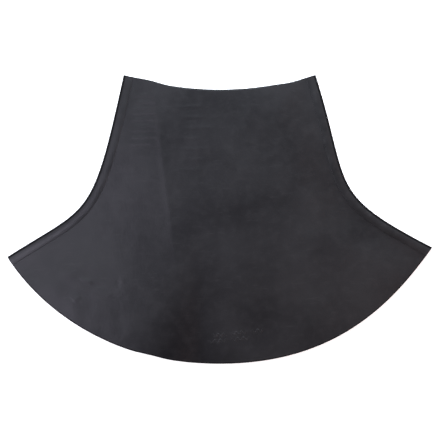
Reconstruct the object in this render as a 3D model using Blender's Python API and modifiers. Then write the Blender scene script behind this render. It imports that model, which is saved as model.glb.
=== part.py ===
"""Kayak spray skirt, empty and laid flat, in metres with +Z up.

Two neoprene panels make a short flaring tube: its narrow end is the waist, and its wide end is the
hem that grips the cockpit rim. The front panel lies over the back panel. They meet along two curved
side flanges, each held in a folded rubber binding, and the front panel bows up between them.
The origin is under the middle of the skirt, on the surface that it lies on. +X is to the right, +Y
is towards the waist, and the front panel is on top.
"""

import math

import bmesh
import bpy
import numpy as np

NAME = "kayak_spray_skirt"

# Outline of the laid skirt.
WAIST_CORNER = (0.1918, 0.2889)  # right end of the waist edge, and mirrored for the left end
WAIST_DIP = 0.0301  # how far the middle of the waist edge lies below its ends
TIPS = {"left": (-0.4243, -0.0748), "right": (0.4250, -0.0558)}  # where the hem meets the sides
HEM_LOW = (0.0, -0.2878)
# A side is one Bezier curve: the handle length at the waist and its angle from straight down, then
# the handle length at the tip and its angle above level.
SIDE_HANDLES = {"left": (0.303, 12.3, 0.196, 32.7), "right": (0.240, 17.6, 0.240, 27.3)}
# Half of the hem is one Bezier curve: the level handle at the lowest point, then the handle length
# at the tip and its angle below level.
HEM_HANDLES = {"left": (0.284, 0.030, 58.5), "right": (0.234, 0.137, 54.0)}
# Low waves of the two free edges: middle and half length as shares of the edge, and the rise along Y.
WAIST_WAVES = ((0.13, 0.13, 0.0030), (0.87, 0.10, -0.0015))
HEM_WAVES = ((0.355, 0.045, 0.0016),)

# Stock thicknesses, and the clearance between neighbours.
NEOPRENE = 0.0030
BINDING = 0.0015
SEAM_TAPE = 0.0008
ELASTIC = 0.0015
FACING = 0.0010
GAP = 0.0003
BOWED_GAP = 0.00045  # under the bowed front panel, where the facets differ a little

# Distances in from the side outline.
PANEL_EDGE = 0.0045
BINDING_WIDTH = 0.0200
FLANGE = 0.0205
FLANGE_STEP = 0.0070
TAPE_FOLD = 0.0295
TAPE_END = 0.0440
ELASTIC_FOLD = 0.0420
MID_ZONE = 0.0580
EDGE_ZONE = 0.0750

# Distances in from the waist edge and from the hem edge.
WAIST_TAPE_ROWS = (0.0010, 0.0210)
SEAM_TAPE_ENDS = (0.0240, 0.0300)
ELASTIC_ROWS = (0.0060, 0.0240)
FACING_ROWS = (0.0010, 0.0270)

# Relief of the front panel. It bows up between the flanges. A crest runs down from the
# waist, left of the middle, and dies out; beside and below it the panel drops into a hollow that
# deepens towards the hem.
BOW = 0.0110
BOW_RUN = {"left": 0.0650, "right": 0.0700}
BOW_POWER = {"left": 1.0, "right": 1.35}  # above 1, the bow starts gently at that flange
CREST_X = (-0.1345, 0.0720)  # at the waist, and its drift towards the hem
CREST_TILT = 0.0550  # slope of the left part at the crest
CREST_RUN = 0.0600
CREST_FADE = (0.60, 0.90)  # shares of the way down between which the crest dies out
HOLLOW_X = (-0.2500, -0.0300)  # where the drop into the hollow starts and ends
HOLLOW_POWER = 6  # the higher, the nearer its end the drop is steepest
HOLLOW_FROM = 0.50  # share of the way down where the drop starts
DROP = 0.0165
DROP_BELOW = 0.10  # share of the drop that lowers the right part
RELIEF_FADE = 0.1000  # the crest and the drop die out this far in from the sides

# Cells of each sheet's grid.
FRONT_ACROSS, FRONT_DOWN = 26, 26
BACK_ACROSS, BACK_DOWN = 14, 18
BINDING_DOWN = 28
TAPE_DOWN = 24
FOLD_CELLS = 4
BINDING_FOLD_CELLS = 6
CURVE_SAMPLES = 400
COLUMN_SAMPLES = 81

# Colour and roughness of each material.
FINISHES = {
    "neoprene": ((0.030, 0.031, 0.035), 0.50),
    "binding": ((0.036, 0.037, 0.041), 0.40),
    "seam_tape": ((0.020, 0.020, 0.022), 0.85),
    "elastic": ((0.045, 0.045, 0.048), 0.80),
    "facing": ((0.022, 0.022, 0.024), 0.90),
}


def smooth_step(low, high, values):
    """0 below low, 1 above high and a smooth change between them."""
    t = np.clip((values - low) / (high - low), 0.0, 1.0)
    return t * t * (3.0 - 2.0 * t)


class Line:
    """A curve in plan, read by its share of length from 0 to 1."""

    def __init__(self, points):
        self.points = points
        steps = np.linalg.norm(np.diff(points, axis=0), axis=1)
        self.travelled = np.concatenate([[0.0], np.cumsum(steps)])
        self.length = self.travelled[-1]

    def at(self, share):
        along = np.asarray(share, dtype=float) * self.length
        x = np.interp(along, self.travelled, self.points[:, 0])
        y = np.interp(along, self.travelled, self.points[:, 1])
        return np.stack([x, y], axis=-1)

    def normal(self, share):
        """Unit normal on the left of the line's own direction."""
        nudge = 0.002
        ahead = self.at(np.clip(np.asarray(share, dtype=float) + nudge, 0.0, 1.0))
        behind = self.at(np.clip(np.asarray(share, dtype=float) - nudge, 0.0, 1.0))
        run = ahead - behind
        normal = np.stack([-run[..., 1], run[..., 0]], axis=-1)
        return normal / np.linalg.norm(normal, axis=-1, keepdims=True)


def bezier(start, start_handle, end_handle, end):
    t = np.linspace(0.0, 1.0, CURVE_SAMPLES)[:, None]
    return (
        (1 - t) ** 3 * np.array(start)
        + 3 * t * (1 - t) ** 2 * np.array(start_handle)
        + 3 * t**2 * (1 - t) * np.array(end_handle)
        + t**3 * np.array(end)
    )


def outward(side):
    return -1.0 if side == "left" else 1.0


def side_line(side):
    """The outline of one side, from the waist corner to the tip."""
    out = outward(side)
    corner = np.array([out * WAIST_CORNER[0], WAIST_CORNER[1]])
    tip = np.array(TIPS[side])
    waist_handle, waist_angle, tip_handle, tip_angle = SIDE_HANDLES[side]
    fall, rise = math.radians(waist_angle), math.radians(tip_angle)
    first = corner + waist_handle * np.array([out * math.sin(fall), -math.cos(fall)])
    second = tip + tip_handle * np.array([-out * math.cos(rise), math.sin(rise)])
    return Line(bezier(corner, first, second, tip))


def hem_half(side):
    """Points of one half of the hem, from its lowest point to its tip."""
    out = outward(side)
    tip = np.array(TIPS[side])
    level_handle, tip_handle, tip_angle = HEM_HANDLES[side]
    fall = math.radians(tip_angle)
    first = np.array(HEM_LOW) + level_handle * np.array([out, 0.0])
    second = tip - tip_handle * np.array([out * math.cos(fall), math.sin(fall)])
    return bezier(HEM_LOW, first, second, tip)


def waist_line():
    """The waist edge from left to right, an arc that dips in the middle."""
    half = WAIST_CORNER[0]
    radius = (half**2 + WAIST_DIP**2) / (2 * WAIST_DIP)
    sweep = math.asin(half / radius)
    angles = np.linspace(-sweep, sweep, CURVE_SAMPLES)
    centre_y = WAIST_CORNER[1] - WAIST_DIP + radius
    return Line(np.stack([radius * np.sin(angles), centre_y - radius * np.cos(angles)], axis=-1))


def waved(line, waves):
    """The line with low waves along Y."""
    share = line.travelled / line.length
    points = line.points.copy()
    for middle, half, rise in waves:
        swing = np.clip((share - middle) / half, -1.0, 1.0)
        points[:, 1] += rise * np.cos(swing * math.pi / 2) ** 2
    return Line(points)


SIDES = {side: side_line(side) for side in ("left", "right")}
WAIST = waved(waist_line(), WAIST_WAVES)
HEM = waved(Line(np.concatenate([hem_half("left")[::-1], hem_half("right")[1:]])), HEM_WAVES)


def in_from_end(line, side, distance):
    """The point of the waist or the hem at a distance from its end on one side."""
    share = distance / line.length
    return line.at(share if side == "left" else 1.0 - share)


def edge_line(side, inset, share):
    """A line inset from one side's outline, with its ends put on the waist and on the hem."""
    share = np.asarray(share, dtype=float)
    seam = SIDES[side]
    turn = -outward(side) * inset
    first = in_from_end(WAIST, side, inset) - (seam.at(0.0) + turn * seam.normal(0.0))
    last = in_from_end(HEM, side, inset) - (seam.at(1.0) + turn * seam.normal(1.0))
    near_waist = ((1.0 - share) ** 4)[..., None]
    near_hem = (share**4)[..., None]
    return seam.at(share) + turn * seam.normal(share) + near_waist * first + near_hem * last


def trimmed(line, across):
    """A point of the waist or the hem between the two edge zones."""
    return line.at((EDGE_ZONE + across * (line.length - 2 * EDGE_ZONE)) / line.length)


def middle_line(across, share):
    """A line between the edge zones, by a Coons patch: across from left to right, share downwards."""
    share = np.asarray(share, dtype=float)[..., None]
    left = edge_line("left", EDGE_ZONE, share[..., 0])
    right = edge_line("right", EDGE_ZONE, share[..., 0])
    top, foot = trimmed(WAIST, across), trimmed(HEM, across)
    ruled = (1 - share) * top + share * foot + (1 - across) * left + across * right
    corners_top = (1 - across) * trimmed(WAIST, 0.0) + across * trimmed(WAIST, 1.0)
    corners_foot = (1 - across) * trimmed(HEM, 0.0) + across * trimmed(HEM, 1.0)
    return ruled - (1 - share) * corners_top - share * corners_foot


def column_point(column, share):
    """A plan point. A column is a side's name and an inset, or "middle" and a share across."""
    place, value = column
    return middle_line(value, share) if place == "middle" else edge_line(place, value, share)


def columns(insets, cells):
    """Columns from left to right: the insets at each side, and equal cells between the edge zones."""
    left = [("left", inset) for inset in insets]
    right = [("right", inset) for inset in reversed(insets)]
    return left + [("middle", i / cells) for i in range(cells + 1)] + right


def share_at(column, distances, from_hem=False):
    """A column's shares at distances along it from the waist edge, or from the hem edge."""
    shares = np.linspace(0.0, 1.0, COLUMN_SAMPLES)
    steps = np.linalg.norm(np.diff(column_point(column, shares), axis=0), axis=1)
    travelled = np.concatenate([[0.0], np.cumsum(steps)])
    return np.interp(travelled[-1] - distances if from_hem else distances, travelled, shares)


def distance_from(side, x, y):
    """Distance from plan points to one side's outline."""
    outline = SIDES[side].points
    return np.hypot(x[..., None] - outline[:, 0], y[..., None] - outline[:, 1]).min(axis=-1)


def side_distance(x, y):
    """Distance from plan points to the nearer side outline."""
    return np.minimum(distance_from("left", x, y), distance_from("right", x, y))


def back_top(x, y):
    """Height of the back panel's upper face: flat, and stepped up onto the bindings' lower legs."""
    step = 1.0 - smooth_step(FLANGE, FLANGE + FLANGE_STEP, side_distance(x, y))
    return NEOPRENE + (BINDING + GAP) * step


def drop_share(x):
    """Share of the drop made on the way across into the hollow."""
    across = np.clip((x - HOLLOW_X[0]) / (HOLLOW_X[1] - HOLLOW_X[0]), 0.0, 1.0)
    return across**HOLLOW_POWER * (HOLLOW_POWER + 1 - HOLLOW_POWER * across)


def fold(x, y):
    """Height that the crest and the drop add: the left part is raised, the right part lowered."""
    down = np.clip((WAIST_CORNER[1] - y) / (WAIST_CORNER[1] - HEM_LOW[1]), 0.0, 1.0)
    left_of_crest = np.maximum(CREST_X[0] + CREST_X[1] * down - x, 0.0)
    crest = CREST_TILT * CREST_RUN * np.exp(-left_of_crest / CREST_RUN)
    drop = DROP * smooth_step(HOLLOW_FROM, 1.0, down)
    return crest * (1.0 - smooth_step(*CREST_FADE, down)) + drop * (1.0 - DROP_BELOW - drop_share(x))


def rise_from_flange(side, inset):
    """Share of the full bow at a distance in from one side."""
    return 1.0 - np.exp(-((np.maximum(inset - FLANGE, 0.0) / BOW_RUN[side]) ** BOW_POWER[side]))


def front_underside(x, y):
    """Height of the front panel's lower face: level on the flanges and bowed up between them."""
    left, right = distance_from("left", x, y), distance_from("right", x, y)
    level = BINDING + NEOPRENE + 2 * GAP
    bow = BOW * rise_from_flange("left", left) * rise_from_flange("right", right)
    return level + bow + fold(x, y) * smooth_step(FLANGE, RELIEF_FADE, np.minimum(left, right))


def on_back(height):
    """A surface at a height above the back panel's upper face."""
    return lambda x, y: back_top(x, y) + height


def under_front(depth):
    """A surface at a depth below the front panel's lower face."""
    return lambda x, y: front_underside(x, y) - depth


def lifted(plan, surface):
    """Plan points given the height of a surface there."""
    heights = surface(plan[..., 0], plan[..., 1])
    return np.concatenate([plan, heights[..., None]], axis=-1)


def make_material(name):
    colour, roughness = FINISHES[name]
    material = bpy.data.materials.get(name) or bpy.data.materials.new(name)
    material.use_nodes = True
    shader = material.node_tree.nodes["Principled BSDF"]
    shader.inputs["Base Color"].default_value = (*colour, 1.0)
    shader.inputs["Roughness"].default_value = roughness
    shader.inputs["Metallic"].default_value = 0.0
    return material


def add_sheet(collection, name, points, thickness, finish):
    """A closed sheet of one thickness. points[i][j] is its middle surface, as a grid."""
    down, across = points.shape[0] - 1, points.shape[1] - 1
    shape = bmesh.new()
    bmesh.ops.create_grid(shape, x_segments=across, y_segments=down, size=1.0)
    for vertex, point in zip(shape.verts, points.reshape(-1, 3)):
        vertex.co = point
    bmesh.ops.remove_doubles(shape, verts=shape.verts, dist=0.00001)
    mesh = bpy.data.meshes.new(name)
    shape.to_mesh(mesh)
    shape.free()
    mesh.shade_smooth()
    mesh.set_sharp_from_angle(angle=math.radians(40.0))
    item = bpy.data.objects.new(name, mesh)
    item.data.materials.append(make_material(finish))
    collection.objects.link(item)
    wall = item.modifiers.new("thickness", "SOLIDIFY")
    wall.thickness = thickness
    wall.offset = 0.0
    wall.use_even_offset = True
    return item


def grid_points(column_list, shares, surface):
    """Rows of points: shares gives each column's own shares of its length, from waist to hem."""
    plan = np.stack([column_point(c, shares(c)) for c in column_list], axis=1)
    return lifted(plan, surface)


def even_rows(cells):
    return lambda column: np.linspace(0.0, 1.0, cells + 1)


def rows_from_waist(near, far):
    return lambda column: share_at(column, np.array([near, far]))


def rows_from_hem(near, far):
    return lambda column: share_at(column, np.array([far, near]), from_hem=True)


def add_panels(collection):
    """The two neoprene panels."""
    front_insets = [PANEL_EDGE, FLANGE, FLANGE + FLANGE_STEP, ELASTIC_FOLD, MID_ZONE]
    front = grid_points(
        columns(front_insets, FRONT_ACROSS), even_rows(FRONT_DOWN), under_front(-NEOPRENE / 2)
    )
    add_sheet(collection, "front_panel", front, NEOPRENE, "neoprene")
    back_insets = [PANEL_EDGE, FLANGE, FLANGE + FLANGE_STEP / 2, FLANGE + FLANGE_STEP]
    back = grid_points(
        columns(back_insets, BACK_ACROSS), even_rows(BACK_DOWN), on_back(-NEOPRENE / 2)
    )
    add_sheet(collection, "back_panel", back, NEOPRENE, "neoprene")


def add_binding(collection, side):
    """A rubber strip folded round the edges of both panels along one side."""
    height = 2 * BINDING + 2 * NEOPRENE + 3 * GAP
    radius = (height - BINDING) / 2
    centre = height / 2
    turns = np.linspace(-math.pi / 2, math.pi / 2, BINDING_FOLD_CELLS + 1)
    insets = [BINDING_WIDTH, *(centre - radius * np.cos(turns)), BINDING_WIDTH]
    heights = [centre - radius, *(centre + radius * np.sin(turns)), centre + radius]
    shares = np.linspace(0.0, 1.0, BINDING_DOWN + 1)
    plan = np.stack([edge_line(side, inset, shares) for inset in insets], axis=1)
    levels = np.broadcast_to(np.array(heights)[None, :, None], (*plan.shape[:2], 1))
    points = np.concatenate([plan, levels], axis=-1)
    add_sheet(collection, f"{side}_seam_binding", points, BINDING, "binding")


def fold_section(low, high, inset):
    """Insets and heights of a half-round fold that joins a lower surface to an upper one."""
    turns = np.linspace(-math.pi / 2, math.pi / 2, FOLD_CELLS + 1)
    radius = (high - low) / 2
    return inset - radius * np.cos(turns), (low + high) / 2 + radius * np.sin(turns)


def add_inner_seam_tape(collection, side):
    """A tape folded into the corner inside one side seam, with a leg on each panel."""
    lower = on_back(GAP + SEAM_TAPE / 2)
    upper = under_front(BOWED_GAP + SEAM_TAPE / 2)
    length = SIDES[side].length
    shares = np.linspace(
        SEAM_TAPE_ENDS[0] / length, 1.0 - SEAM_TAPE_ENDS[1] / length, TAPE_DOWN + 1
    )
    rows = []
    for share in shares:
        end = lifted(edge_line(side, TAPE_END, share), lower)
        fold = edge_line(side, TAPE_FOLD, share)
        low, high = lifted(fold, lower)[2], lifted(fold, upper)[2]
        insets, heights = fold_section(low, high, TAPE_FOLD)
        turn = [[*edge_line(side, i, share), z] for i, z in zip(insets, heights)]
        rows.append([end, *turn, lifted(edge_line(side, TAPE_END, share), upper)])
    add_sheet(collection, f"{side}_inner_seam_tape", np.array(rows), SEAM_TAPE, "seam_tape")


def add_hem_elastic(collection):
    """A flat elastic band round the hem, folded back inside each side seam."""
    lower = on_back(GAP + ELASTIC / 2)
    upper = under_front(BOWED_GAP + ELASTIC / 2)
    rows = rows_from_hem(*ELASTIC_ROWS)
    run = [("left", MID_ZONE), *columns([], FRONT_ACROSS), ("right", MID_ZONE)]
    lower_run = grid_points(run, rows, lower)
    upper_run = grid_points(run, rows, upper)

    def fold(side):
        at_fold = (side, ELASTIC_FOLD)
        turned = []
        for share in rows(at_fold):
            spot = edge_line(side, ELASTIC_FOLD, share)
            low, high = lifted(spot, lower)[2], lifted(spot, upper)[2]
            insets, heights = fold_section(low, high, ELASTIC_FOLD)
            turned.append([[*edge_line(side, i, share), z] for i, z in zip(insets, heights)])
        return np.array(turned)

    left, right = fold("left"), fold("right")
    loop = [lower_run, right, upper_run[:, ::-1], left[:, ::-1], lower_run[:, :1]]
    add_sheet(collection, "hem_elastic", np.concatenate(loop, axis=1), ELASTIC, "elastic")


def add_hem_facings(collection):
    """A stretch facing over the elastic on each panel, between its two folds."""
    run = columns([], FRONT_ACROSS)
    rows = rows_from_hem(*FACING_ROWS)
    back = grid_points(run, rows, on_back(2 * GAP + ELASTIC + FACING / 2))
    add_sheet(collection, "back_hem_facing", back, FACING, "facing")
    front = grid_points(run, rows, under_front(2 * BOWED_GAP + ELASTIC + FACING / 2))
    add_sheet(collection, "front_hem_facing", front, FACING, "facing")


def add_waist_tapes(collection):
    """A tape along the inside of the waist edge on each panel."""
    run = columns([ELASTIC_FOLD, MID_ZONE], FRONT_ACROSS)
    rows = rows_from_waist(*WAIST_TAPE_ROWS)
    back = grid_points(run, rows, on_back(GAP + SEAM_TAPE / 2))
    add_sheet(collection, "back_waist_tape", back, SEAM_TAPE, "seam_tape")
    front = grid_points(run, rows, under_front(BOWED_GAP + SEAM_TAPE / 2))
    add_sheet(collection, "front_waist_tape", front, SEAM_TAPE, "seam_tape")


def clear_scene():
    for item in list(bpy.data.objects):
        bpy.data.objects.remove(item, do_unlink=True)


def build():
    clear_scene()
    collection = bpy.data.collections.new(NAME)
    bpy.context.scene.collection.children.link(collection)
    add_panels(collection)
    for side in SIDES:
        add_binding(collection, side)
        add_inner_seam_tape(collection, side)
    add_hem_elastic(collection)
    add_hem_facings(collection)
    add_waist_tapes(collection)


build()
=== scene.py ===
"""The looks of the kayak spray skirt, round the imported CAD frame. Metres, +Z up."""

import math

import bpy
import numpy as np
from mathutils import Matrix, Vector, noise


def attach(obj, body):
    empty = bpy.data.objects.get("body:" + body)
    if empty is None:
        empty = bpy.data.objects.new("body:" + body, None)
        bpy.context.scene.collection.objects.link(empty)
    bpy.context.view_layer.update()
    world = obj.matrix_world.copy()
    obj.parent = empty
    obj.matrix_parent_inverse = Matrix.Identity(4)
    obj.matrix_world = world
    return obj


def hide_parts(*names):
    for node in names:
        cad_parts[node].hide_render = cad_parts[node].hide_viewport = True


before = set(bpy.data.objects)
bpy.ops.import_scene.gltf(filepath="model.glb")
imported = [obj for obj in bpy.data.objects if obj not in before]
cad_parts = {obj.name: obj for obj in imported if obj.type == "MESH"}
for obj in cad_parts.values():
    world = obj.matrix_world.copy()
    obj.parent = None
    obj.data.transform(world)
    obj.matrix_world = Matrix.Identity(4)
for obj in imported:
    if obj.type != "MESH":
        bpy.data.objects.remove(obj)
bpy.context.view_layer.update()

BODY = "root"

# Camera: straight down, with the view's width measured on the skirt.
VIEW_WIDTH = 0.874
VIEW_CENTRE = (-0.0022, 0.0019)
CAMERA_HEIGHT = 8.0
CLIP_END = 20.0
SENSOR_MM = 36.0

WHITE = (1.0, 1.0, 1.0, 1.0)

# The floor: a pale light table just under the skirt, whose own light washes shadows out.
FLOOR_SIZE = 14.0
FLOOR_DROP = 0.0004
FLOOR_FINISH = {
    "Base Color": (0.94, 0.94, 0.94, 1.0),
    "Roughness": 0.9,
    "Specular IOR Level": 0.2,
    "Emission Color": WHITE,
    "Emission Strength": 0.60,
}

# Softboxes: place, aim, size, power in watts and colour.
SOFTBOXES = {
    "left_softbox": ((-0.64, -0.13, 0.85), (-0.64, -0.13, 0.0), (0.5, 0.5), 4.9, (0.85, 0.82, 1.0)),
    "top_softbox": ((0.06, 1.02, 0.86), (0.0, 0.0, 0.0), (0.9, 0.5), 23.9, (0.80, 0.88, 1.0)),
    "right_softbox": ((1.0, -0.33, 0.92), (0.0, 0.0, 0.0), (0.5, 0.5), 4.3, (1.0, 0.60, 0.58)),
}

# Room light: between two sines of elevation its strength falls from the walls' to the ceiling's.
WALL_FADE = {"From Min": 0.42, "From Max": 0.68, "To Min": 1.60, "To Max": 0.10}

# Outline of the laid skirt, as in the CAD model.
WAIST_CORNER = (0.1918, 0.2889)
WAIST_DIP = 0.0301
TIPS = {"left": (-0.4243, -0.0748), "right": (0.4250, -0.0558)}
HEM_LOW = (0.0, -0.2878)
# A side is one Bezier curve: the handle length at the waist and its angle from straight down, then
# the handle length at the tip and its angle above level.
SIDE_HANDLES = {"left": (0.303, 12.3, 0.196, 32.7), "right": (0.240, 17.6, 0.240, 27.3)}
# Half of the hem is one Bezier curve: the level handle at the lowest point, then the handle length
# at the tip and its angle below level.
HEM_HANDLES = {"left": (0.284, 0.030, 58.5), "right": (0.234, 0.137, 54.0)}
# Low waves of the two free edges: middle and half length as shares of the edge, and the rise
# along Y.
WAIST_WAVES = ((0.13, 0.13, 0.0030), (0.87, 0.10, -0.0015))
HEM_WAVES = ((0.355, 0.045, 0.0016),)

# Points of each curve, and of each column of a grid when distances are measured along it.
CURVE_SAMPLES = 400
COLUMN_SAMPLES = 81
NORMAL_STEP = 0.002  # share of a curve over which its direction is read
END_POWER = 4  # an inset line bends to the waist and the hem only near its ends

# Rounding of the panels' cut edges at the waist and the hem: its depth, and its rows as shares.
EDGE_ROUND = 0.0022
EDGE_STEPS = (0.0, 0.08, 0.22, 0.42, 0.70, 1.0)

# Stock, clearances and distances in from the side outline, as in the CAD model.
NEOPRENE = 0.0030
BINDING = 0.0015
SEAM_TAPE = 0.0008
ELASTIC = 0.0015
FACING = 0.0010
GAP = 0.0003
PANEL_EDGE = 0.0045
BINDING_WIDTH = 0.0200
FLANGE = 0.0205
FLANGE_STEP = 0.0070
TAPE_FOLD = 0.0295
TAPE_END = 0.0440
ELASTIC_FOLD = 0.0420
EDGE_ZONE = 0.0750
WAIST_TAPE_ROWS = (0.0010, 0.0210)
SEAM_TAPE_ENDS = (0.0240, 0.0300)
ELASTIC_ROWS = (0.0060, 0.0240)
FACING_ROWS = (0.0010, 0.0270)

# Relief of the front panel, as in the CAD model. It bows up between the flanges. A crest runs
# down from the waist, left of the middle, and dies out; beside and below it the panel drops into
# a hollow that deepens towards the hem.
BOW = 0.0110
BOW_RUN = {"left": 0.0650, "right": 0.0700}
BOW_POWER = {"left": 1.0, "right": 1.35}  # above 1, the bow starts gently at that flange
CREST_X = (-0.1345, 0.0720)  # at the waist, and its drift towards the hem
CREST_TILT = 0.0550  # slope of the left part at the crest
CREST_RUN = 0.0600
CREST_FADE = (0.60, 0.90)  # shares of the way down between which the crest dies out
HOLLOW_X = (-0.2500, -0.0300)  # where the drop into the hollow starts and ends
HOLLOW_POWER = 6  # the higher, the nearer its end the drop is steepest
HOLLOW_FROM = 0.50  # share of the way down where the drop starts
DROP = 0.0165
DROP_BELOW = 0.10  # share of the drop that lowers the right part
RELIEF_FADE = 0.1000  # the crest and the drop die out this far in from the sides

# Fine relief of the front panel, which only the looks have: slow and small waves, as height, width
# and seed of their noise, and the sharp line along the crest.
SLOW_WAVES = (0.0009, 0.090, 3.1)
SMALL_WAVES = (0.00025, 0.030, 7.7)
FLARE_GAIN = 0.00040  # height that the small waves gain in the left flare
FLARE_X = (-0.24, -0.15)  # the whole gain left of the first, none right of the second
CREST_LINE = (0.0080, 0.00055)  # half-width and height
CREST_LINE_FADE = (0.38, 0.60)  # shares of the way down between which the line dies out

# Worn and stretched patches of the skin: x and y of the middle, reach along each, and the change
# of roughness there.
SKIN_PATCHES = (
    (-0.079, -0.272, 0.140, 0.150, -0.12),
    (0.320, -0.035, 0.090, 0.075, -0.08),
    (0.245, -0.145, 0.220, 0.120, 0.11),
    (-0.270, -0.095, 0.170, 0.100, 0.07),
    (-0.200, 0.090, 0.060, 0.110, -0.05),
)

# Wear of the bindings along X: from and to which place, and the change of roughness at each.
WORN_TIP = (-0.42, -0.28, 0.14, 0.0)
HANDLED = (-0.34, -0.20, 0.0, 0.12)

# Creases in the front panel: x and y of the middle, length, turn in degrees and height. Two
# uneven rows run down from the waist, left of the crest and right of it.
CREASE_WIDTH = 0.0032
CREASE_FADE = (0.25, 0.50)  # shares of its length, from its middle, between which a crease fades
WAIST_CREASES = tuple(
    (-0.155 + 0.004 * (i % 2), 0.248 - 0.0115 * i - 0.002 * (i % 3), 0.058, 2.0 + (i % 3), 0.00050)
    for i in range(9)
)
MIDDLE_CREASES = tuple(
    (-0.062 + 0.010 * (i % 3), 0.225 - 0.021 * i, 0.070 - 0.006 * (i % 2), 1.0, 0.00024)
    for i in range(7)
)
FLARE_CREASES = (
    (-0.266, -0.122, 0.030, -18.0, 0.00080),
    (-0.243, -0.131, 0.034, -8.0, -0.00070),
    (-0.286, -0.157, 0.020, 28.0, 0.00100),
    (-0.203, -0.128, 0.016, 80.0, -0.00060),
    (-0.193, -0.121, 0.018, 84.0, 0.00055),
    (-0.222, -0.151, 0.022, 8.0, 0.00050),
)

# Section of a binding: a bead, and a lip that is rounded down to the front panel.
BINDING_HEIGHT = 2 * BINDING + 2 * NEOPRENE + 3 * GAP
BEAD_AT = 0.0140  # inset of the bead's top
BEAD_HEIGHT = 0.0094
BEAD_POWER = 1.6  # the higher, the fuller the bead's outer shoulder
LIP_AT = 0.0192  # inset where the lip's rounding starts
LIP_HEIGHT = 0.0091
LIP_GAP = 0.0001  # between the lip and the front panel
SOLE_ROUND = 0.0050  # from the lower leg up to the bead's outer edge
FOLD_INSIDE = 0.0040  # inset of the inner face's fold
FOLD_EDGE = 0.0044  # width of the dull edge, whose darker colour is painted shade

# Elastic and facings: the elastic's ribs, and the facings' puckers over it.
ELASTIC_RIBS = 9
RIB_DEPTH = 0.00010
PUCKERS = 95
PUCKER_HEIGHT = 0.00010
PUCKER_DRIFT = 1.5  # radians by which the puckers stray from even spacing
PUCKER_DRIFT_SLOWNESS = 7.0
FACING_CLEAR = 0.0005  # the facing stays raised this far past the elastic

# Cells of the grids. A panel's are across each edge zone, between the zones and down.
FRONT_CELLS = (28, 150, 250)
BACK_CELLS = (14, 60, 80)
BINDING_DOWN = 140
SOLE_CELLS = 7
SOLE_ROUND_CELLS = 8
BEAD_CELLS = 18
LIP_CELLS = 5
FOLD_CELLS = 12
TAPE_DOWN = 160
TAPE_LEG_CELLS = 10
ZONE_CELLS = 12
STRIP_ACROSS = 120
CELLS_IN_RIB = 6
FACING_ACROSS = 360
FACING_DOWN = 39
WAIST_TAPE_DOWN = 10

# Rims: how far the middle swells out, and the rings of points between the two faces. A strip's
# swell is a share of its thickness.
PANEL_RIM = (0.0004, 3)
BINDING_RIM = (0.0002, 2)
STRIP_RIM = (0.25, 2)
SHARP_ANGLE = 50.0  # degrees between two faces, past which their edge is shaded sharp

# The mark: strokes as start, length, height above the mark's middle and swings.
MARK_MIDDLE = (0.0330, -0.2330)
MARK_TURN = 6.0
MARK_STROKES = (
    (-0.048, 0.030, 0.0055, 3.0),
    (-0.012, 0.036, 0.0055, 3.5),
    (0.030, 0.028, 0.0055, 2.5),
    (-0.058, 0.040, -0.0065, 3.5),
    (-0.012, 0.040, -0.0065, 3.5),
)
MARK_SWING = 0.0030
MARK_WIDTH = 0.0034
MARK_HEIGHT = 0.00032
MARK_ENDS = (0.01, 0.99)  # shares of a stroke where its taper stops, so that the ends have area
MARK_CELLS = 60
MARK_SIDES = 12


# Camera and stage ---------------------------------------------------------------------------------


def add_camera():
    data = bpy.data.cameras.new("camera")
    camera = bpy.data.objects.new("camera", data)
    bpy.context.scene.collection.objects.link(camera)
    data.sensor_width = SENSOR_MM
    data.lens = SENSOR_MM * CAMERA_HEIGHT / VIEW_WIDTH
    data.clip_end = CLIP_END
    camera.location = (*VIEW_CENTRE, CAMERA_HEIGHT)
    bpy.context.scene.camera = camera


def add_floor():
    bpy.ops.mesh.primitive_plane_add(size=FLOOR_SIZE, location=(0.0, 0.0, -FLOOR_DROP))
    floor = bpy.context.object
    floor.name = "studio_floor"
    material = bpy.data.materials.new("studio_floor")
    material.use_nodes = True
    shader = material.node_tree.nodes["Principled BSDF"]
    for socket, value in FLOOR_FINISH.items():
        shader.inputs[socket].default_value = value
    floor.data.materials.append(material)


def add_light(name, place, aim, size, power, colour):
    data = bpy.data.lights.new(name, "AREA")
    data.shape = "RECTANGLE"
    data.size, data.size_y = size
    data.energy = power
    data.color = colour
    light = bpy.data.objects.new(name, data)
    light.location = place
    light.rotation_mode = "QUATERNION"
    light.rotation_quaternion = (Vector(aim) - Vector(place)).to_track_quat("-Z", "Y")
    bpy.context.scene.collection.objects.link(light)


def add_lights():
    """Low softboxes: over the left flare, beyond the waist and to the right."""
    for name, settings in SOFTBOXES.items():
        add_light(name, *settings)
    bpy.context.scene.view_settings.view_transform = "Standard"


def add_walls():
    """Room light: bright from the walls all round and dim from the ceiling."""
    world = bpy.data.worlds.new("studio")
    bpy.context.scene.world = world
    world.use_nodes = True
    tree = world.node_tree
    direction = tree.nodes.new("ShaderNodeSeparateXYZ")
    tree.links.new(tree.nodes.new("ShaderNodeTexCoord").outputs["Generated"], direction.inputs[0])
    fall = tree.nodes.new("ShaderNodeMapRange")
    fall.interpolation_type = "SMOOTHSTEP"
    for socket, value in WALL_FADE.items():
        fall.inputs[socket].default_value = value
    tree.links.new(direction.outputs["Z"], fall.inputs["Value"])
    sky = tree.nodes["Background"]
    sky.inputs["Color"].default_value = WHITE
    tree.links.new(fall.outputs["Result"], sky.inputs["Strength"])


# Plan of the skirt --------------------------------------------------------------------------------


def smooth_step(low, high, values):
    """0 below low, 1 above high and a smooth change between them."""
    t = np.clip((values - low) / (high - low), 0.0, 1.0)
    return t * t * (3.0 - 2.0 * t)


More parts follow.
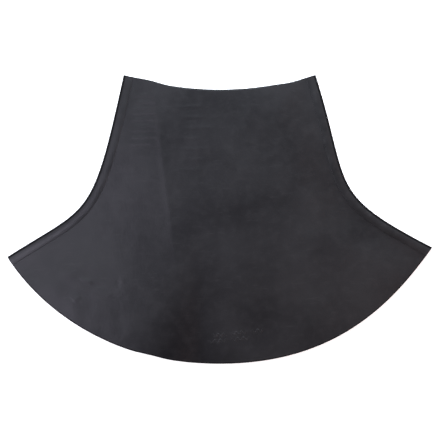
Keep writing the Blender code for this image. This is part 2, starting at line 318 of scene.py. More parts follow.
class Line:
    """A curve in plan, read by its share of length from 0 to 1."""

    def __init__(self, points):
        self.points = points
        steps = np.linalg.norm(np.diff(points, axis=0), axis=1)
        self.travelled = np.concatenate([[0.0], np.cumsum(steps)])
        self.length = self.travelled[-1]

    def at(self, share):
        along = np.asarray(share, dtype=float) * self.length
        x = np.interp(along, self.travelled, self.points[:, 0])
        y = np.interp(along, self.travelled, self.points[:, 1])
        return np.stack([x, y], axis=-1)

    def normal(self, share):
        """Unit normal on the left of the line's own direction."""
        share = np.asarray(share, dtype=float)
        ahead = self.at(np.clip(share + NORMAL_STEP, 0.0, 1.0))
        behind = self.at(np.clip(share - NORMAL_STEP, 0.0, 1.0))
        run = ahead - behind
        normal = np.stack([-run[..., 1], run[..., 0]], axis=-1)
        return normal / np.linalg.norm(normal, axis=-1, keepdims=True)


def bezier(start, start_handle, end_handle, end):
    t = np.linspace(0.0, 1.0, CURVE_SAMPLES)[:, None]
    return (
        (1 - t) ** 3 * np.array(start)
        + 3 * t * (1 - t) ** 2 * np.array(start_handle)
        + 3 * t**2 * (1 - t) * np.array(end_handle)
        + t**3 * np.array(end)
    )


def outward(side):
    return -1.0 if side == "left" else 1.0


def side_line(side):
    """The outline of one side, from the waist corner to the tip."""
    out = outward(side)
    corner = np.array([out * WAIST_CORNER[0], WAIST_CORNER[1]])
    tip = np.array(TIPS[side])
    waist_handle, waist_angle, tip_handle, tip_angle = SIDE_HANDLES[side]
    fall, rise = math.radians(waist_angle), math.radians(tip_angle)
    first = corner + waist_handle * np.array([out * math.sin(fall), -math.cos(fall)])
    second = tip + tip_handle * np.array([-out * math.cos(rise), math.sin(rise)])
    return Line(bezier(corner, first, second, tip))


def hem_half(side):
    """Points of one half of the hem, from its lowest point to its tip."""
    out = outward(side)
    tip = np.array(TIPS[side])
    level_handle, tip_handle, tip_angle = HEM_HANDLES[side]
    fall = math.radians(tip_angle)
    first = np.array(HEM_LOW) + level_handle * np.array([out, 0.0])
    second = tip - tip_handle * np.array([out * math.cos(fall), math.sin(fall)])
    return bezier(HEM_LOW, first, second, tip)


def waist_line():
    """The waist edge from left to right, an arc that dips in the middle."""
    half = WAIST_CORNER[0]
    radius = (half**2 + WAIST_DIP**2) / (2 * WAIST_DIP)
    sweep = math.asin(half / radius)
    angles = np.linspace(-sweep, sweep, CURVE_SAMPLES)
    centre_y = WAIST_CORNER[1] - WAIST_DIP + radius
    return Line(np.stack([radius * np.sin(angles), centre_y - radius * np.cos(angles)], axis=-1))


def waved(line, waves):
    """The line with low waves along Y."""
    share = line.travelled / line.length
    points = line.points.copy()
    for middle, half, rise in waves:
        swing = np.clip((share - middle) / half, -1.0, 1.0)
        points[:, 1] += rise * np.cos(swing * math.pi / 2) ** 2
    return Line(points)


SIDES = {side: side_line(side) for side in ("left", "right")}
WAIST = waved(waist_line(), WAIST_WAVES)
HEM = waved(Line(np.concatenate([hem_half("left")[::-1], hem_half("right")[1:]])), HEM_WAVES)


def in_from_end(line, side, distance):
    """The point of the waist or the hem at a distance from its end on one side."""
    share = distance / line.length
    return line.at(share if side == "left" else 1.0 - share)


def edge_line(side, inset, share):
    """A line inset from one side's outline, with its ends put on the waist and on the hem."""
    share = np.asarray(share, dtype=float)
    seam = SIDES[side]
    turn = -outward(side) * inset
    first = in_from_end(WAIST, side, inset) - (seam.at(0.0) + turn * seam.normal(0.0))
    last = in_from_end(HEM, side, inset) - (seam.at(1.0) + turn * seam.normal(1.0))
    near_waist = ((1.0 - share) ** END_POWER)[..., None]
    near_hem = (share**END_POWER)[..., None]
    return seam.at(share) + turn * seam.normal(share) + near_waist * first + near_hem * last


def trimmed(line, across):
    """A point of the waist or the hem between the two edge zones."""
    return line.at((EDGE_ZONE + across * (line.length - 2 * EDGE_ZONE)) / line.length)


def middle_line(across, share):
    """A line between the edge zones, by a Coons patch: across runs from left to right."""
    share = np.asarray(share, dtype=float)[..., None]
    left = edge_line("left", EDGE_ZONE, share[..., 0])
    right = edge_line("right", EDGE_ZONE, share[..., 0])
    top, foot = trimmed(WAIST, across), trimmed(HEM, across)
    ruled = (1 - share) * top + share * foot + (1 - across) * left + across * right
    corners_top = (1 - across) * trimmed(WAIST, 0.0) + across * trimmed(WAIST, 1.0)
    corners_foot = (1 - across) * trimmed(HEM, 0.0) + across * trimmed(HEM, 1.0)
    return ruled - (1 - share) * corners_top - share * corners_foot


def column_point(column, share):
    """A plan point. A column is a side's name and an inset, or "middle" and a share across."""
    place, value = column
    return middle_line(value, share) if place == "middle" else edge_line(place, value, share)


def zone_insets(start, cells):
    """Equal steps from a start to the inner edge of the edge zone, which is left out."""
    return np.linspace(start, EDGE_ZONE, cells + 1)[:-1].tolist()


def columns(insets, cells):
    """Columns from left to right: insets at each side, and equal cells between the zones."""
    left = [("left", inset) for inset in insets]
    right = [("right", inset) for inset in reversed(insets)]
    return left + [("middle", i / cells) for i in range(cells + 1)] + right


def share_at(column, distances, from_hem=False):
    """A column's shares at distances along it from the waist edge, or from the hem edge."""
    shares = np.linspace(0.0, 1.0, COLUMN_SAMPLES)
    steps = np.linalg.norm(np.diff(column_point(column, shares), axis=0), axis=1)
    travelled = np.concatenate([[0.0], np.cumsum(steps)])
    return np.interp(travelled[-1] - distances if from_hem else distances, travelled, shares)


def round_edged_rows(cells):
    """Even rows, with close ones at the waist and the hem for the rounded edge."""
    near = EDGE_ROUND * np.array(EDGE_STEPS)
    even = np.linspace(0.0, 1.0, cells + 1)[1:-1]

    def shares(column):
        waist, hem = share_at(column, near), share_at(column, near[::-1], from_hem=True)
        return np.concatenate([waist, even, hem])

    return shares


def rows_from_waist(near, far, cells):
    return lambda column: share_at(column, np.linspace(near, far, cells + 1))


def rows_from_hem(near, far, cells):
    return lambda column: share_at(column, np.linspace(far, near, cells + 1), from_hem=True)


def plan_grid(column_list, shares):
    """Rows of plan points: shares gives each column's own shares of its length, from the waist."""
    return np.stack([column_point(c, shares(c)) for c in column_list], axis=1)


# Heights ------------------------------------------------------------------------------------------


def distance_from(side, x, y):
    """Distance from plan points to one side's outline, row by row."""
    if x.ndim > 1:
        return np.stack([distance_from(side, i, j) for i, j in zip(x, y)])
    outline = SIDES[side].points
    return np.hypot(x[..., None] - outline[:, 0], y[..., None] - outline[:, 1]).min(axis=-1)


def side_distance(x, y):
    """Distance from plan points to the nearer side outline."""
    return np.minimum(distance_from("left", x, y), distance_from("right", x, y))


def back_top(x, y):
    """Height of the back panel's upper face: flat, and stepped up onto the bindings' lower legs."""
    step = 1.0 - smooth_step(FLANGE, FLANGE + FLANGE_STEP, side_distance(x, y))
    return NEOPRENE + (BINDING + GAP) * step


def rise_from_flange(side, inset):
    """Share of the full bow at a distance in from one side."""
    return 1.0 - np.exp(-((np.maximum(inset - FLANGE, 0.0) / BOW_RUN[side]) ** BOW_POWER[side]))


def way_down(y):
    """Share of the way down from the waist corners to the low point of the hem."""
    return np.clip((WAIST_CORNER[1] - y) / (WAIST_CORNER[1] - HEM_LOW[1]), 0.0, 1.0)


def drop_share(x):
    """Share of the drop made on the way across into the hollow."""
    across = np.clip((x - HOLLOW_X[0]) / (HOLLOW_X[1] - HOLLOW_X[0]), 0.0, 1.0)
    return across**HOLLOW_POWER * (HOLLOW_POWER + 1 - HOLLOW_POWER * across)


def fold(x, y):
    """Height that the crest and the drop add: the left part is raised, the right part lowered."""
    down = way_down(y)
    left_of_crest = np.maximum(CREST_X[0] + CREST_X[1] * down - x, 0.0)
    crest = CREST_TILT * CREST_RUN * np.exp(-left_of_crest / CREST_RUN)
    crest *= 1.0 - smooth_step(*CREST_FADE, down)
    drop = DROP * smooth_step(HOLLOW_FROM, 1.0, down)
    return crest + drop * (1.0 - DROP_BELOW - drop_share(x))


def crest_line(x, y):
    """The sharp line of the fold along the crest."""
    down = way_down(y)
    half_width, height = CREST_LINE
    away = (x - CREST_X[0] - CREST_X[1] * down) / half_width
    return height * np.exp(-(away**2)) * (1.0 - smooth_step(*CREST_LINE_FADE, down))


def noise_field(x, y, height, width, seed):
    """Smooth noise of a height, up and down, with features about so wide."""
    places = zip(x.ravel(), y.ravel())
    flat = [noise.noise(Vector((i / width, j / width, seed))) for i, j in places]
    return height * np.array(flat).reshape(x.shape)


def creases(x, y, marks):
    """Low straight ridges, or grooves where the height is below 0, that fade at their ends."""
    total = np.zeros_like(x)
    for middle_x, middle_y, length, turn, height in marks:
        cos, sin = math.cos(math.radians(turn)), math.sin(math.radians(turn))
        along = (x - middle_x) * cos + (y - middle_y) * sin
        across = (y - middle_y) * cos - (x - middle_x) * sin
        ends = 1.0 - smooth_step(*CREASE_FADE, np.abs(along) / length)
        total += height * ends * np.exp(-((across / CREASE_WIDTH) ** 2))
    return total


def fine_relief(x, y):
    """Waves, creases and a line along the crest, which the panel keeps from storage."""
    height, width, seed = SMALL_WAVES
    in_flare = 1.0 - smooth_step(*FLARE_X, x)
    waves = noise_field(x, y, *SLOW_WAVES)
    waves += noise_field(x, y, height + FLARE_GAIN * in_flare, width, seed)
    marks = WAIST_CREASES + MIDDLE_CREASES + FLARE_CREASES
    return waves + creases(x, y, marks) + crest_line(x, y)


def front_underside(x, y):
    """Height of the front panel's lower face: level on the flanges and bowed up between them."""
    left, right = distance_from("left", x, y), distance_from("right", x, y)
    inside = np.minimum(left, right)
    level = BINDING + NEOPRENE + 2 * GAP
    bow = BOW * rise_from_flange("left", left) * rise_from_flange("right", right)
    fade = smooth_step(FLANGE, RELIEF_FADE, inside)
    waves = fine_relief(x, y) * smooth_step(FLANGE, 2 * FLANGE, inside)
    return level + bow + fold(x, y) * fade + waves


def on_back(height):
    return lambda x, y: back_top(x, y) + height


def under_front(depth):
    return lambda x, y: front_underside(x, y) - depth


def lifted(plan, surface):
    """Plan points given the height of a surface there."""
    heights = surface(plan[..., 0], plan[..., 1])
    return np.concatenate([plan, heights[..., None]], axis=-1)


# Meshes -------------------------------------------------------------------------------------------


def add_mesh(name, points, faces, face_slots, materials):
    """A smooth-shaded piece from points, faces and each face's material number."""
    mesh = bpy.data.meshes.new(name)
    mesh.from_pydata(points.tolist(), [], faces)
    for material in materials:
        mesh.materials.append(material)
    mesh.polygons.foreach_set("material_index", face_slots)
    mesh.shade_smooth()
    mesh.set_sharp_from_angle(angle=math.radians(SHARP_ANGLE))
    mesh.validate()
    item = bpy.data.objects.new(name, mesh)
    bpy.context.scene.collection.objects.link(item)
    return item


def rim_orders(rows, cols, loop):
    """Grid indices along each free edge: one edge all round, or two where the columns close."""
    top = [(0, j) for j in range(cols)]
    foot = [(rows - 1, j) for j in range(cols - 1, -1, -1)]
    if loop:
        return [top, foot]
    right = [(i, cols - 1) for i in range(1, rows - 1)]
    left = [(i, 0) for i in range(rows - 2, 0, -1)]
    return [top + right + foot + left]


def rim_ring(order, upper, lower, share, bulge, loop):
    """Points part of the way down a rim, pushed outwards by bulge."""
    rows, cols = upper.shape[:2]
    made = []
    for i, j in order:
        p = min(max(i, 1), rows - 2)
        q = j if loop else min(max(j, 1), cols - 2)
        run = (upper[i, j] - upper[p, q]) * np.array([1.0, 1.0, 0.0])
        run /= max(np.linalg.norm(run), 1e-9)
        made.append((1 - share) * upper[i, j] + share * lower[i, j] + bulge * run)
    return made


def add_shell(name, upper, lower, materials, swell, rim_rings, edge_rows=0, loop=False):
    """A closed sheet between two grids, with its rims rounded outwards by swell. materials are the
    upper face's, the rim's and the lower face's, and any that the caller gives out afterwards.
    edge_rows of the upper face, at the waist and at the hem, count as rim."""
    rows, cols = upper.shape[:2]
    index = np.arange(rows * cols).reshape(rows, cols)
    across = np.concatenate([index, index[:, :1]], axis=1) if loop else index
    a, b = across[:-1, :-1].ravel(), across[:-1, 1:].ravel()
    c, d = across[1:, 1:].ravel(), across[1:, :-1].ravel()
    below = rows * cols
    faces = np.stack([a, d, c, b], axis=1).tolist()
    faces += (np.stack([a, b, c, d], axis=1) + below).tolist()
    upper_slots = np.zeros((rows - 1, across.shape[1] - 1), dtype=int)
    if edge_rows:
        upper_slots[:edge_rows] = upper_slots[-edge_rows:] = 1
    slots = upper_slots.ravel().tolist() + [2] * len(a)
    points = [*upper.reshape(-1, 3), *lower.reshape(-1, 3)]
    for order in rim_orders(rows, cols, loop):
        rings = [[int(index[i, j]) for i, j in order]]
        for ring in range(1, rim_rings + 1):
            share = ring / (rim_rings + 1)
            bulge = swell * math.sin(math.pi * share)
            rings.append(list(range(len(points), len(points) + len(order))))
            points += rim_ring(order, upper, lower, share, bulge, loop)
        rings.append([k + below for k in rings[0]])
        for first, second in zip(rings[:-1], rings[1:]):
            for k in range(len(order)):
                following = (k + 1) % len(order)
                faces.append([first[k], first[following], second[following], second[k]])
                slots.append(1)
    return add_mesh(name, np.array(points), faces, slots, materials)


def add_strip(name, middle, thickness, material, loop=False):
    """A closed strip round its middle surface, a grid. thickness is a number or one for each row."""
    down = np.gradient(middle, axis=0)
    if loop:
        across = np.roll(middle, -1, axis=1) - np.roll(middle, 1, axis=1)
    else:
        across = np.gradient(middle, axis=1)
    normal = np.cross(down, across)
    normal /= np.linalg.norm(normal, axis=-1, keepdims=True)
    half = np.broadcast_to(np.asarray(thickness) / 2, (len(middle),))[:, None, None] * normal
    swell_share, rings = STRIP_RIM
    swell = swell_share * float(np.min(thickness))
    return add_shell(name, middle + half, middle - half, [material] * 3, swell, rings, loop=loop)


def finish_piece(item, slot, *nodes):
    """Ride on the one body and stand in for CAD nodes. slot is not used."""
    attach(item, BODY)
    if nodes:
        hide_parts(*nodes)


# Materials ----------------------------------------------------------------------------------------


class Nodes:
    """A material's node tree, with short calls for the nodes that the materials share."""

    def __init__(self, name):
        self.material = bpy.data.materials.new(name)
        self.material.use_nodes = True
        self.tree = self.material.node_tree
        self.shader = self.tree.nodes["Principled BSDF"]
        self.place = self.tree.nodes.new("ShaderNodeTexCoord").outputs["Object"]

    def link(self, output, node, socket):
        self.tree.links.new(output, node.inputs[socket])

    def set_values(self, node, values):
        """Give a node's sockets their values. A name's underscores stand for spaces."""
        for socket, value in values.items():
            node.inputs[socket.replace("_", " ")].default_value = value

    def add(self, kind, vector=None, **values):
        """A new node. It reads the vector, if it is given one."""
        node = self.tree.nodes.new(kind)
        self.set_values(node, values)
        if vector is not None:
            self.link(vector, node, "Vector")
        return node

    def mapping(self, stretch, turn):
        rotation = (0.0, 0.0, turn)
        node = self.add("ShaderNodeMapping", self.place, Scale=stretch, Rotation=rotation)
        return node.outputs["Vector"]

    def axis(self, name):
        """One coordinate of the object, in metres."""
        return self.add("ShaderNodeSeparateXYZ", self.place).outputs[name]

    def patch(self, x, y, reach_x, reach_y):
        """1 at a place in plan, falling to 0 at its reach."""
        scale = (1.0 / reach_x, 1.0 / reach_y, 0.0)
        shift = (-x / reach_x, -y / reach_y, 0.0)
        spot = self.add("ShaderNodeMapping", self.place, Scale=scale, Location=shift)
        length = self.add("ShaderNodeVectorMath", spot.outputs["Vector"])
        length.operation = "LENGTH"
        fall = self.add("ShaderNodeMapRange", To_Min=1.0, To_Max=0.0)
        fall.interpolation_type = "SMOOTHSTEP"
        self.link(length.outputs["Value"], fall, "Value")
        return fall.outputs["Result"]

    def noise(self, scale, detail, rough=0.5, vector=None):
        values = {"Scale": scale, "Detail": detail, "Roughness": rough}
        return self.add("ShaderNodeTexNoise", vector or self.place, **values).outputs["Fac"]

    def cells(self, scale):
        return self.add("ShaderNodeTexVoronoi", self.place, Scale=scale).outputs["Distance"]

    def wave(self, scale, axis, distortion=0.0):
        node = self.add("ShaderNodeTexWave", self.place, Scale=scale, Distortion=distortion)
        node.bands_direction = axis
        return node.outputs["Fac"]

    def weave(self, first, second):
        """Two crossing waves, each given as scale, axis and, if any, distortion."""
        return self.math("MULTIPLY", self.wave(*first), self.wave(*second))

    def spread(self, value, low, high, new_low=0.0, new_high=1.0):
        """A value's range from low to high, drawn out over another range and clamped to it."""
        node = self.add(
            "ShaderNodeMapRange", From_Min=low, From_Max=high, To_Min=new_low, To_Max=new_high
        )
        self.link(value, node, "Value")
        return node.outputs["Result"]

    def mix(self, share, first, second):
        """A colour between two others, each a colour or a socket."""
        node = self.add("ShaderNodeMix")
        node.data_type = "RGBA"
        self.link(share, node, "Factor")
        for socket, colour in ((6, first), (7, second)):
            if isinstance(colour, tuple):
                node.inputs[socket].default_value = (*colour, 1.0)
            else:
                self.link(colour, node, socket)
        return node.outputs[2]

    def math(self, operation, first, second):
        node = self.add("ShaderNodeMath")
        node.operation = operation
        for socket, value in ((0, first), (1, second)):
            if isinstance(value, (int, float)):
                node.inputs[socket].default_value = value
            else:
                self.link(value, node, socket)
        return node.outputs[0]

    def bump(self, height, distance, strength, before=None):
        node = self.add("ShaderNodeBump", Strength=strength, Distance=distance)
        self.link(height, node, "Height")
        if before is not None:
            self.link(before, node, "Normal")
        return node.outputs["Normal"]

    def finish(self, colour, roughness, normal, **uniform):
        self.link(colour, self.shader, "Base Color")
        self.link(roughness, self.shader, "Roughness")
        self.link(normal, self.shader, "Normal")
        self.set_values(self.shader, uniform)
        return self.material


def skin_material():
    """Smooth-skin neoprene: near black, satin, with cloudy wear, faint scuffs and a fine grain."""
    nodes = Nodes("neoprene_skin")
    clouds = nodes.noise(9.0, 3.0)
    mottle = nodes.noise(60.0, 4.0, 0.6)
    scuffs = nodes.noise(30.0, 5.0, 0.65, nodes.mapping((1.0, 7.0, 1.0), 0.35))
    deep, worn = (0.0050, 0.0048, 0.0060), (0.0085, 0.0082, 0.0096)
    dusty = (0.016, 0.0155, 0.017)
    colour = nodes.mix(nodes.spread(clouds, 0.35, 0.68), deep, worn)
    colour = nodes.mix(nodes.spread(mottle, 0.48, 0.78, 0.0, 0.36), colour, dusty)
    colour = nodes.mix(nodes.spread(scuffs, 0.60, 0.74, 0.0, 0.8), colour, dusty)
    uneven = nodes.math("ADD", clouds, nodes.math("MULTIPLY", mottle, 0.4))
    roughness = nodes.spread(uneven, 0.4, 1.0, 0.39, 0.52)
    for *spot, change in SKIN_PATCHES:
        step = nodes.math("MULTIPLY", nodes.patch(*spot), change)
        roughness = nodes.math("ADD", roughness, step)
    grain = nodes.bump(nodes.noise(1400.0, 2.0), 0.00012, 0.5)
    normal = nodes.bump(mottle, 0.0008, 0.32, grain)
    return nodes.finish(colour, roughness, normal, Specular_IOR_Level=0.38)


def foam_material():
    """The cut edge of the foam core: matt, closed cells."""
    nodes = Nodes("neoprene_foam_edge")
    cells = nodes.cells(1500.0)
    dark, pale = (0.0035, 0.0035, 0.0040), (0.0120, 0.0120, 0.0130)
    colour = nodes.mix(nodes.spread(cells, 0.0, 0.7), dark, pale)
    roughness = nodes.spread(cells, 0.0, 0.8, 0.95, 0.8)
    return nodes.finish(colour, roughness, nodes.bump(cells, 0.0003, 0.7), Specular_IOR_Level=0.10)


def jersey_material(name, dark, pale):
    """Nylon jersey: a fine matt knit of ribs, each broken into stitches."""
    nodes = Nodes(name)
    knit = nodes.weave((170.0, "X", 0.3), (136.0, "Y", 0.3))
    fade = nodes.noise(14.0, 3.0)
    colour = nodes.mix(nodes.spread(knit, 0.0, 0.9), dark, pale)
    colour = nodes.mix(nodes.spread(fade, 0.4, 0.7, 0.0, 0.35), colour, pale)
    roughness = nodes.spread(fade, 0.3, 0.7, 0.78, 0.92)
    normal = nodes.bump(knit, 0.0004, 0.8)
    return nodes.finish(colour, roughness, normal, Sheen_Weight=0.15, Sheen_Roughness=0.5)


def lining_material():
    """The jersey inside both panels."""
    return jersey_material("jersey_lining", (0.013, 0.013, 0.015), (0.032, 0.032, 0.036))


def facing_material():
    """The stretch jersey over the elastic, a little darker."""
    return jersey_material("stretch_facing", (0.010, 0.010, 0.011), (0.026, 0.026, 0.028))


def shaded_fold_edge_material():
    """The fold along the binding's outer edge: dulled rubber, with painted shade in its darker
    colour.
    """
    nodes = Nodes("binding_shaded_fold_edge")
    shade_mottle = nodes.noise(300.0, 4.0, 0.6)
    # Both colours are painted shade, darker than the binding's rubber, for the shade along its outer
    # edge.
    dark, dusty = (0.0035, 0.0034, 0.0040), (0.0080, 0.0078, 0.0085)
    colour = nodes.mix(nodes.spread(shade_mottle, 0.4, 0.7), dark, dusty)
    roughness = nodes.spread(shade_mottle, 0.3, 0.7, 0.75, 0.90)
    return nodes.finish(colour, roughness, nodes.bump(shade_mottle, 0.0002, 0.5), Specular_IOR_Level=0.10)


def binding_material():
    """Moulded rubber strip: smoother than the panels, rubbed pale here and there."""
    nodes = Nodes("binding_rubber")
    clouds = nodes.noise(22.0, 3.0)
    rub = nodes.noise(70.0, 5.0, 0.7)
    deep, worn, rubbed = (0.0055, 0.0053, 0.0064), (0.0095, 0.0092, 0.0106), (0.020, 0.020, 0.021)
    colour = nodes.mix(nodes.spread(clouds, 0.35, 0.7), deep, worn)
    colour = nodes.mix(nodes.spread(rub, 0.58, 0.75, 0.0, 0.5), colour, rubbed)
    along = nodes.axis("X")
    wear = nodes.math("ADD", nodes.spread(along, *WORN_TIP), nodes.spread(along, *HANDLED))
    roughness = nodes.math("ADD", nodes.spread(rub, 0.35, 0.7, 0.27, 0.37), wear)
    normal = nodes.bump(nodes.noise(900.0, 2.0), 0.0001, 0.4)
    return nodes.finish(colour, roughness, normal, Specular_IOR_Level=0.42)


def woven_material(name, bands, dark, pale, roughness, relief):
    """A close weave, dark between its threads. roughness is a range, and relief the bump's
    distance and strength."""
    nodes = Nodes(name)
    weave = nodes.weave(*bands)
    colour = nodes.mix(nodes.spread(weave, 0.0, 1.0), dark, pale)
    rough = nodes.spread(nodes.noise(18.0, 2.0), 0.3, 0.7, *roughness)
    return nodes.finish(colour, rough, nodes.bump(weave, *relief))


def tape_material():
    """Nylon-faced tape, a plain weave."""
    return woven_material(
        "seam_tape_weave",
        bands=((260.0, "X"), (260.0, "Y")),
        dark=(0.009, 0.009, 0.010),
        pale=(0.026, 0.026, 0.029),
        roughness=(0.70, 0.85),
        relief=(0.0003, 0.7),
    )


def elastic_material():
    """Woven elastic with ribs along its length."""
    return woven_material(
        "elastic_weave",
        bands=((200.0, "Y"), (90.0, "X", 0.6)),
        dark=(0.022, 0.022, 0.024),
        pale=(0.065, 0.065, 0.070),
        roughness=(0.72, 0.88),
        relief=(0.0004, 0.8),
    )


# Pieces -------------------------------------------------------------------------------------------


def add_panel(name, grid, surface, materials):
    """A neoprene panel under a surface, with its cut edges rounded at the waist and the hem."""
    upper = lifted(grid, surface)
    lower = upper - np.array([0.0, 0.0, NEOPRENE])
    fall = EDGE_ROUND * (1.0 - np.sqrt(1.0 - (1.0 - np.array(EDGE_STEPS)) ** 2))
    upper[: len(fall), :, 2] -= fall[:, None]
    upper[-len(fall) :, :, 2] -= fall[::-1, None]
    return add_shell(name, upper, lower, materials, *PANEL_RIM, edge_rows=len(fall) - 2)


def panel_grid(zone_cells, middle_cells, cells_down):
    run = columns(zone_insets(PANEL_EDGE, zone_cells), middle_cells)
    return plan_grid(run, round_edged_rows(cells_down))


def add_panels(skin, foam, lining):
    """The front panel, with a fine grid for its relief, and the flat back panel."""
    grid = panel_grid(*FRONT_CELLS)
    surface = under_front(-NEOPRENE)
    front = add_panel("front_neoprene_panel", grid, surface, [skin, foam, lining])
    finish_piece(front, "neoprene", "front_panel")
    grid = panel_grid(*BACK_CELLS)
    back = add_panel("back_neoprene_panel", grid, on_back(0.0), [lining, foam, skin])
    finish_piece(back, "neoprene", "back_panel")


def binding_section():
    """Insets and heights of a binding's outer and inner faces, from the lower leg to the upper."""
    middle = BINDING_HEIGHT / 2
    panel_top = BINDING_HEIGHT - BINDING - GAP
    outer = [(d, 0.0) for d in np.linspace(BINDING_WIDTH, SOLE_ROUND, SOLE_CELLS + 1)[:-1]]
    for angle in np.linspace(0.0, math.pi / 2, SOLE_ROUND_CELLS + 1):
        outer.append((SOLE_ROUND * (1 - math.sin(angle)), middle * (1 - math.cos(angle))))
    for share in (np.linspace(0.0, 1.0, BEAD_CELLS + 1) ** 2)[1:]:
        rise = (BEAD_HEIGHT - middle) * math.sqrt(1 - (1 - share) ** BEAD_POWER)
        outer.append((BEAD_AT * share, middle + rise))
    for d in np.linspace(BEAD_AT, LIP_AT, LIP_CELLS + 1)[1:]:
        fall = smooth_step(BEAD_AT, 2 * LIP_AT - BEAD_AT, d)
        outer.append((d, BEAD_HEIGHT - 2 * fall * (BEAD_HEIGHT - LIP_HEIGHT)))
    for angle in np.linspace(0.0, math.pi / 2, LIP_CELLS + 1)[1:]:
        fall = (LIP_HEIGHT - panel_top - LIP_GAP) * (1 - math.cos(angle))
        outer.append((LIP_AT + (BINDING_WIDTH - LIP_AT) * math.sin(angle), LIP_HEIGHT - fall))
    inner = []
    for d, z in outer:
        if z < middle:
            height = max(BINDING, min(z + BINDING, middle))
        else:
            height = min(max(z - BINDING, middle), panel_top + LIP_GAP / 2)
        inner.append((max(d, FOLD_INSIDE), height))
    return outer, inner


def dull_shaded_edge(item, side):
    """Give the binding's outer edge the last of its materials, the dull one with painted shade."""
    count = len(item.data.polygons)
    centres = np.empty(3 * count)
    item.data.polygons.foreach_get("center", centres)
    centres = centres.reshape(-1, 3)
    # Faces this near the outline take the painted shade of the edge material.
    near = distance_from(side, centres[:, 0], centres[:, 1]) < FOLD_EDGE
    last = len(item.data.materials) - 1
    item.data.polygons.foreach_set("material_index", near.astype(int) * last)
    item.data.update()


def add_bindings(material, edge):
    """The folded rubber strip round both panels' edges, on each side."""
    shares = np.linspace(0.0, 1.0, BINDING_DOWN + 1)
    for side in SIDES:
        faces = []
        for section in binding_section():
            plan = np.stack([edge_line(side, inset, shares) for inset, _ in section], axis=1)
            heights = np.array([z for _, z in section])
            levels = np.broadcast_to(heights[None, :, None], (*plan.shape[:2], 1))
            face = np.concatenate([plan, levels], axis=-1)
            faces.append(face if side == "right" else face[:, ::-1])
        name = f"{side}_rubber_binding"
        item = add_shell(name, *faces, [material] * 3 + [edge], *BINDING_RIM)
        dull_shaded_edge(item, side)
        finish_piece(item, "binding_rubber", f"{side}_seam_binding")


def fold_section(low, high, inset):
    """Insets and heights of a half-round fold that joins a lower surface to an upper one."""
    turns = np.linspace(-math.pi / 2, math.pi / 2, FOLD_CELLS + 1)
    radius = (high - low) / 2
    return inset - radius * np.cos(turns), (low + high) / 2 + radius * np.sin(turns)


def height_at(surface, spot):
    return float(surface(spot[None, 0], spot[None, 1])[0])


def folded_run(side, share, inset, lower, upper):
    """Points of a fold at one share of a side, from the lower surface to the upper one."""
    spot = edge_line(side, inset, share)
    low, high = height_at(lower, spot), height_at(upper, spot)
    insets, heights = fold_section(low, high, inset)
    return [[*edge_line(side, i, share), z] for i, z in zip(insets, heights)]


def add_seam_tapes(material):
    """The tape folded into the corner inside each side seam, with a leg on each panel."""
    lower, upper = on_back(GAP + SEAM_TAPE / 2), under_front(GAP + SEAM_TAPE / 2)
    leg = np.linspace(TAPE_END, TAPE_FOLD, TAPE_LEG_CELLS + 1)[:-1]
    for side, seam in SIDES.items():
        near, far = (end / seam.length for end in SEAM_TAPE_ENDS)
        shares = np.linspace(near, 1.0 - far, TAPE_DOWN + 1)
        plan = np.stack([edge_line(side, inset, shares) for inset in leg], axis=1)
        folds = [folded_run(side, share, TAPE_FOLD, lower, upper) for share in shares]
        legs = [lifted(plan, lower), np.array(folds), lifted(plan[:, ::-1], upper)]
        middle = np.concatenate(legs, axis=1)
        item = add_strip(f"{side}_folded_seam_tape", middle, SEAM_TAPE, material)
        finish_piece(item, "seam_tape", f"{side}_inner_seam_tape")


def add_elastic(material):
    """The woven elastic round the hem, folded back inside each side seam, with ribs along it."""
    lower, upper = on_back(GAP + ELASTIC / 2), under_front(GAP + ELASTIC / 2)
    rows = rows_from_hem(*ELASTIC_ROWS, ELASTIC_RIBS * CELLS_IN_RIB)
    plan = plan_grid(columns(zone_insets(ELASTIC_FOLD, ZONE_CELLS)[1:], STRIP_ACROSS), rows)
    folds = {}
    for side in SIDES:
        shares = rows((side, ELASTIC_FOLD))
        folds[side] = np.array([folded_run(side, s, ELASTIC_FOLD, lower, upper) for s in shares])
    front = lifted(plan[:, ::-1], upper)
    runs = [lifted(plan, lower), folds["right"], front, folds["left"][:, ::-1]]
    middle = np.concatenate(runs, axis=1)
    turns = np.linspace(0.0, 2 * math.pi * ELASTIC_RIBS, len(middle))
    thickness = ELASTIC - RIB_DEPTH * (1 + np.cos(turns))
    item = add_strip("ribbed_hem_elastic", middle, thickness, material, loop=True)
    finish_piece(item, "elastic_band", "hem_elastic")


def over_elastic(plan, surface, sign):
    """A facing's middle surface: glued down beside the elastic, raised over it, gently puckered."""
    near, far = FACING_ROWS
    from_hem = np.linspace(far, near, len(plan))
    climb = smooth_step(near, ELASTIC_ROWS[0] - FACING_CLEAR, from_hem)
    climb *= 1.0 - smooth_step(ELASTIC_ROWS[1] + FACING_CLEAR, far, from_hem)
    across = np.linspace(0.0, PUCKERS * 2 * math.pi, plan.shape[1])
    strayed = across + PUCKER_DRIFT * np.sin(across / PUCKER_DRIFT_SLOWNESS)
    pucker = PUCKER_HEIGHT * np.sin(strayed)[None, :] * climb[:, None]
    points = lifted(plan, surface)
    points[..., 2] += sign * ((GAP + ELASTIC) * climb[:, None] + pucker)
    return points


def add_facings(material):
    """The stretch facing over the elastic on each panel, between its two folds."""
    plan = plan_grid(columns([], FACING_ACROSS), rows_from_hem(*FACING_ROWS, FACING_DOWN))
    for name, surface, sign in (
        ("back", on_back(GAP + FACING / 2), 1.0),
        ("front", under_front(GAP + FACING / 2), -1.0),
    ):
        middle = over_elastic(plan, surface, sign)
        item = add_strip(f"{name}_jersey_facing", middle, FACING, material)
        finish_piece(item, "stretch_facing", f"{name}_hem_facing")


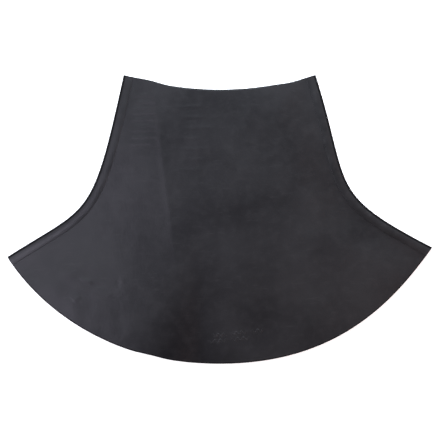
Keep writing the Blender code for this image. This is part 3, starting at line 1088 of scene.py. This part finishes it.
def add_waist_tapes(material):
    """The tape along the inside of the waist edge on each panel."""
    rows = rows_from_waist(*WAIST_TAPE_ROWS, WAIST_TAPE_DOWN)
    plan = plan_grid(columns(zone_insets(ELASTIC_FOLD, ZONE_CELLS), STRIP_ACROSS), rows)
    for name, surface in (
        ("back", on_back(GAP + SEAM_TAPE / 2)),
        ("front", under_front(GAP + SEAM_TAPE / 2)),
    ):
        middle = lifted(plan, surface)
        item = add_strip(f"{name}_waist_edge_tape", middle, SEAM_TAPE, material)
        finish_piece(item, "seam_tape", f"{name}_waist_tape")


def stroke_points(start, length, lift, swings):
    """Rings of points round one wavy stroke of the mark, with heights above the panel."""
    turn = math.radians(MARK_TURN)
    along = np.linspace(0.0, 1.0, MARK_CELLS + 1)
    x = start + length * along
    y = lift + MARK_SWING * np.sin(2 * math.pi * swings * along)
    turned_x = x * math.cos(turn) - y * math.sin(turn)
    turned_y = x * math.sin(turn) + y * math.cos(turn)
    middle = np.stack([turned_x, turned_y], axis=-1) + np.array(MARK_MIDDLE)
    run = np.gradient(middle, axis=0)
    side = np.stack([-run[:, 1], run[:, 0]], axis=-1) / np.linalg.norm(run, axis=1)[:, None]
    taper = np.sqrt(np.sin(math.pi * np.clip(along, *MARK_ENDS)))
    angles = np.arange(MARK_SIDES) * 2 * math.pi / MARK_SIDES
    reach = MARK_WIDTH / 2 * taper[:, None] * np.cos(angles)
    plan = middle[:, None, :] + reach[..., None] * side[:, None, :]
    heights = MARK_HEIGHT * taper[:, None] * np.sin(angles)
    return np.concatenate([plan, heights[..., None]], axis=-1).reshape(-1, 3)


def stroke_faces(first):
    """Faces of a stroke whose points start at first: its sides, and a cap at each end."""
    ring = range(MARK_SIDES)
    faces = []
    for k in range(MARK_CELLS):
        foot = first + k * MARK_SIDES
        for i in ring:
            a, b = foot + i, foot + (i + 1) % MARK_SIDES
            faces.append([a, b, b + MARK_SIDES, a + MARK_SIDES])
    last = first + MARK_CELLS * MARK_SIDES
    faces.append([first + i for i in reversed(ring)])
    faces.append([last + i for i in ring])
    return faces


def add_mark(material):
    """A generic mark in low relief near the hem: short wave strokes, with no lettering."""
    strokes = [stroke_points(*stroke) for stroke in MARK_STROKES]
    points = np.concatenate(strokes)
    points[:, 2] += front_underside(points[:, 0], points[:, 1]) + NEOPRENE
    faces = []
    for k, stroke in enumerate(strokes):
        faces += stroke_faces(k * len(stroke))
    item = add_mesh("raised_wave_mark", points, faces, [0] * len(faces), [material])
    finish_piece(item, "neoprene")


def build():
    add_camera()
    add_floor()
    skin = skin_material()
    add_panels(skin, foam_material(), lining_material())
    add_bindings(binding_material(), shaded_fold_edge_material())
    tape = tape_material()
    add_seam_tapes(tape)
    add_waist_tapes(tape)
    add_elastic(elastic_material())
    add_facings(facing_material())
    add_mark(skin)
    add_lights()
    add_walls()


build()
